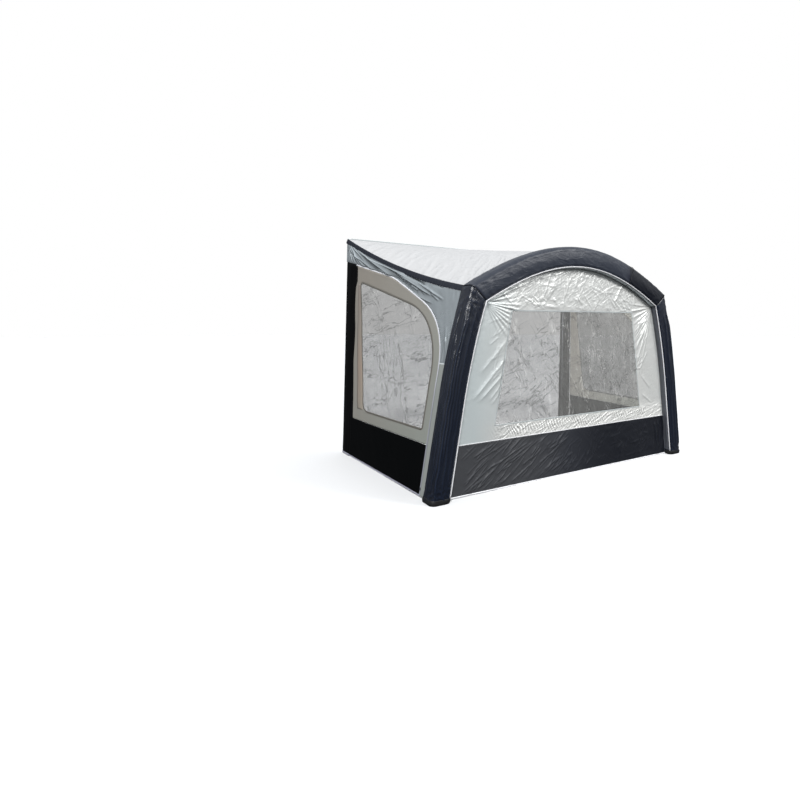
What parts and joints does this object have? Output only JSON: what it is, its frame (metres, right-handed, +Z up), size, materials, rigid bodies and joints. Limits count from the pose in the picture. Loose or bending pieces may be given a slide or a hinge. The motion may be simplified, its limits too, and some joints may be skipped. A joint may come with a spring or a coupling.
{
  "type": "inflatable caravan canopy",
  "caption": "Inflatable porch canopy for a caravan: an air beam arch, taut cloth walls with clear windows, zip-in side doors and a roof hung from the awning rail.",
  "frame": {"origin": "centre of the footprint, on the ground", "axes": "+X to the right seen from the front, +Y towards the caravan, +Z up"},
  "size_m": [3.4684, 1.8294, 2.354],
  "materials": {
    "navy_cloth": "satin coated polyester, dark navy",
    "silver_cloth": "silver-white coated polyester",
    "grey_cloth": "warm grey polyester",
    "black_cloth": "black coated polyester",
    "charcoal_cloth": "charcoal coated polyester",
    "white_tape": "white binding tape",
    "grey_tape": "pale grey binding tape",
    "zip_tape": "coil zip on pale grey tape",
    "rail_tape": "grey keder tape",
    "foam": "closed-cell foam",
    "clear_film": "clear crinkled vinyl film",
    "bladder_film": "translucent urethane film",
    "black_plastic": "moulded black plastic",
    "zip_metal": "dark painted zinc",
    "pole_steel": "dark grey powder-coated steel"
  },
  "bodies": {
    "canopy": {"beam_sleeve_left": "navy_cloth", "beam_sleeve_crown": "navy_cloth", "beam_sleeve_right": "navy_cloth", "air_bladder": "bladder_film", "front_panel": "silver_cloth", "front_window": "clear_film", "front_skirt": "charcoal_cloth", "front_hem": "white_tape", "front_piping": "white_tape", "roof": "silver_cloth", "rail_strip": "rail_tape", "valve_base": "black_plastic", "foot_pad_left": "black_plastic", "gusset_left": "silver_cloth", "side_strip_left": "grey_cloth", "roof_band_left": "navy_cloth", "rear_column_left": "black_cloth", "rear_foam_left": "foam", "pole_foot_left": "black_plastic", "pole_lower_left": "pole_steel", "pole_clamp_left": "black_plastic", "rail_socket_left": "black_plastic", "beam_socket_left": "black_plastic", "roof_pole_outer_left": "pole_steel", "peg_ring_left": "white_tape", "foot_pad_right": "black_plastic", "gusset_right": "silver_cloth", "side_strip_right": "grey_cloth", "roof_band_right": "navy_cloth", "rear_column_right": "black_cloth", "rear_foam_right": "foam", "pole_foot_right": "black_plastic", "pole_lower_right": "pole_steel", "pole_clamp_right": "black_plastic", "rail_socket_right": "black_plastic", "beam_socket_right": "black_plastic", "roof_pole_outer_right": "pole_steel", "peg_ring_right": "white_tape"},
    "door_left": {"door_frame_left": "grey_cloth", "door_window_left": "clear_film", "door_skirt_left": "black_cloth", "door_zip_left": "zip_tape", "door_hem_left": "grey_tape"},
    "zip_slider_body_left": {"zip_slider_left": "zip_metal"},
    "zip_pull_body_left": {"zip_pull_left": "zip_metal"},
    "rear_pole_top_left": {"pole_upper_left": "pole_steel"},
    "clamp_lever_body_left": {"clamp_lever_left": "black_plastic"},
    "roof_pole_slide_left": {"roof_pole_inner_left": "pole_steel"},
    "door_right": {"door_frame_right": "grey_cloth", "door_window_right": "clear_film", "door_skirt_right": "black_cloth", "door_zip_right": "zip_tape", "door_hem_right": "grey_tape"},
    "zip_slider_body_right": {"zip_slider_right": "zip_metal"},
    "zip_pull_body_right": {"zip_pull_right": "zip_metal"},
    "rear_pole_top_right": {"pole_upper_right": "pole_steel"},
    "clamp_lever_body_right": {"clamp_lever_right": "black_plastic"},
    "roof_pole_slide_right": {"roof_pole_inner_right": "pole_steel"},
    "valve_cap_body": {"valve_cap": "black_plastic"},
    "valve_stem_body": {"valve_stem": "black_plastic"}
  },
  "joints": [
    {"name": "door_swing_left", "type": "hinge", "parent": "canopy", "child": "door_left", "pos_m": [-1.72484, 0.73365, 0], "axis": [-0.0634, -0.0054, -0.998], "range_deg": [0, 100]},
    {"name": "zip_run_left", "type": "slide", "parent": "door_left", "child": "zip_slider_body_left", "axis": [0.1862, 0.0465, 0.9814], "range_m": [0, 0.72]},
    {"name": "zip_pull_swing_left", "type": "hinge", "parent": "zip_slider_body_left", "child": "zip_pull_body_left", "pos_m": [-1.63719, -0.66755, 0.076], "axis": [-0.063, 0.998, 0], "range_deg": [0, 90]},
    {"name": "rear_pole_extend_left", "type": "slide", "parent": "canopy", "child": "rear_pole_top_left", "axis": [0.0552, 0.0027, 0.9985], "range_m": [-0.6, 0]},
    {"name": "clamp_lever_swing_left", "type": "hinge", "parent": "canopy", "child": "clamp_lever_body_left", "pos_m": [-1.57913, 0.82776, 1.15656], "axis": [0, -1, 0.0027], "range_deg": [0, 100]},
    {"name": "roof_pole_extend_left", "type": "slide", "parent": "canopy", "child": "roof_pole_slide_left", "axis": [0.1057, -0.9768, -0.1864], "range_m": [-0.3, 0]},
    {"name": "door_swing_right", "type": "hinge", "parent": "canopy", "child": "door_right", "pos_m": [1.72484, 0.73365, 0], "axis": [-0.0634, 0.0054, 0.998], "range_deg": [0, 100]},
    {"name": "zip_run_right", "type": "slide", "parent": "door_right", "child": "zip_slider_body_right", "axis": [-0.1862, 0.0465, 0.9814], "range_m": [0, 0.72]},
    {"name": "zip_pull_swing_right", "type": "hinge", "parent": "zip_slider_body_right", "child": "zip_pull_body_right", "pos_m": [1.63719, -0.66755, 0.076], "axis": [-0.063, -0.998, 0], "range_deg": [0, 90]},
    {"name": "rear_pole_extend_right", "type": "slide", "parent": "canopy", "child": "rear_pole_top_right", "axis": [-0.0552, 0.0027, 0.9985], "range_m": [-0.6, 0]},
    {"name": "clamp_lever_swing_right", "type": "hinge", "parent": "canopy", "child": "clamp_lever_body_right", "pos_m": [1.57913, 0.82776, 1.15656], "axis": [0, 1, -0.0027], "range_deg": [0, 100]},
    {"name": "roof_pole_extend_right", "type": "slide", "parent": "canopy", "child": "roof_pole_slide_right", "axis": [-0.1057, -0.9768, -0.1864], "range_m": [-0.3, 0]},
    {"name": "valve_cap_turn", "type": "hinge", "parent": "canopy", "child": "valve_cap_body", "pos_m": [-1.50294, -0.74162, 0.3747], "axis": [0, 0.9988, -0.0499], "range_deg": [0, 270]},
    {"name": "valve_stem_press", "type": "slide", "parent": "canopy", "child": "valve_stem_body", "axis": [0, -0.9988, 0.0499], "range_m": [0, 0.004], "stiffness_N_per_m": 300, "springref_m": -0.005}
  ]
}
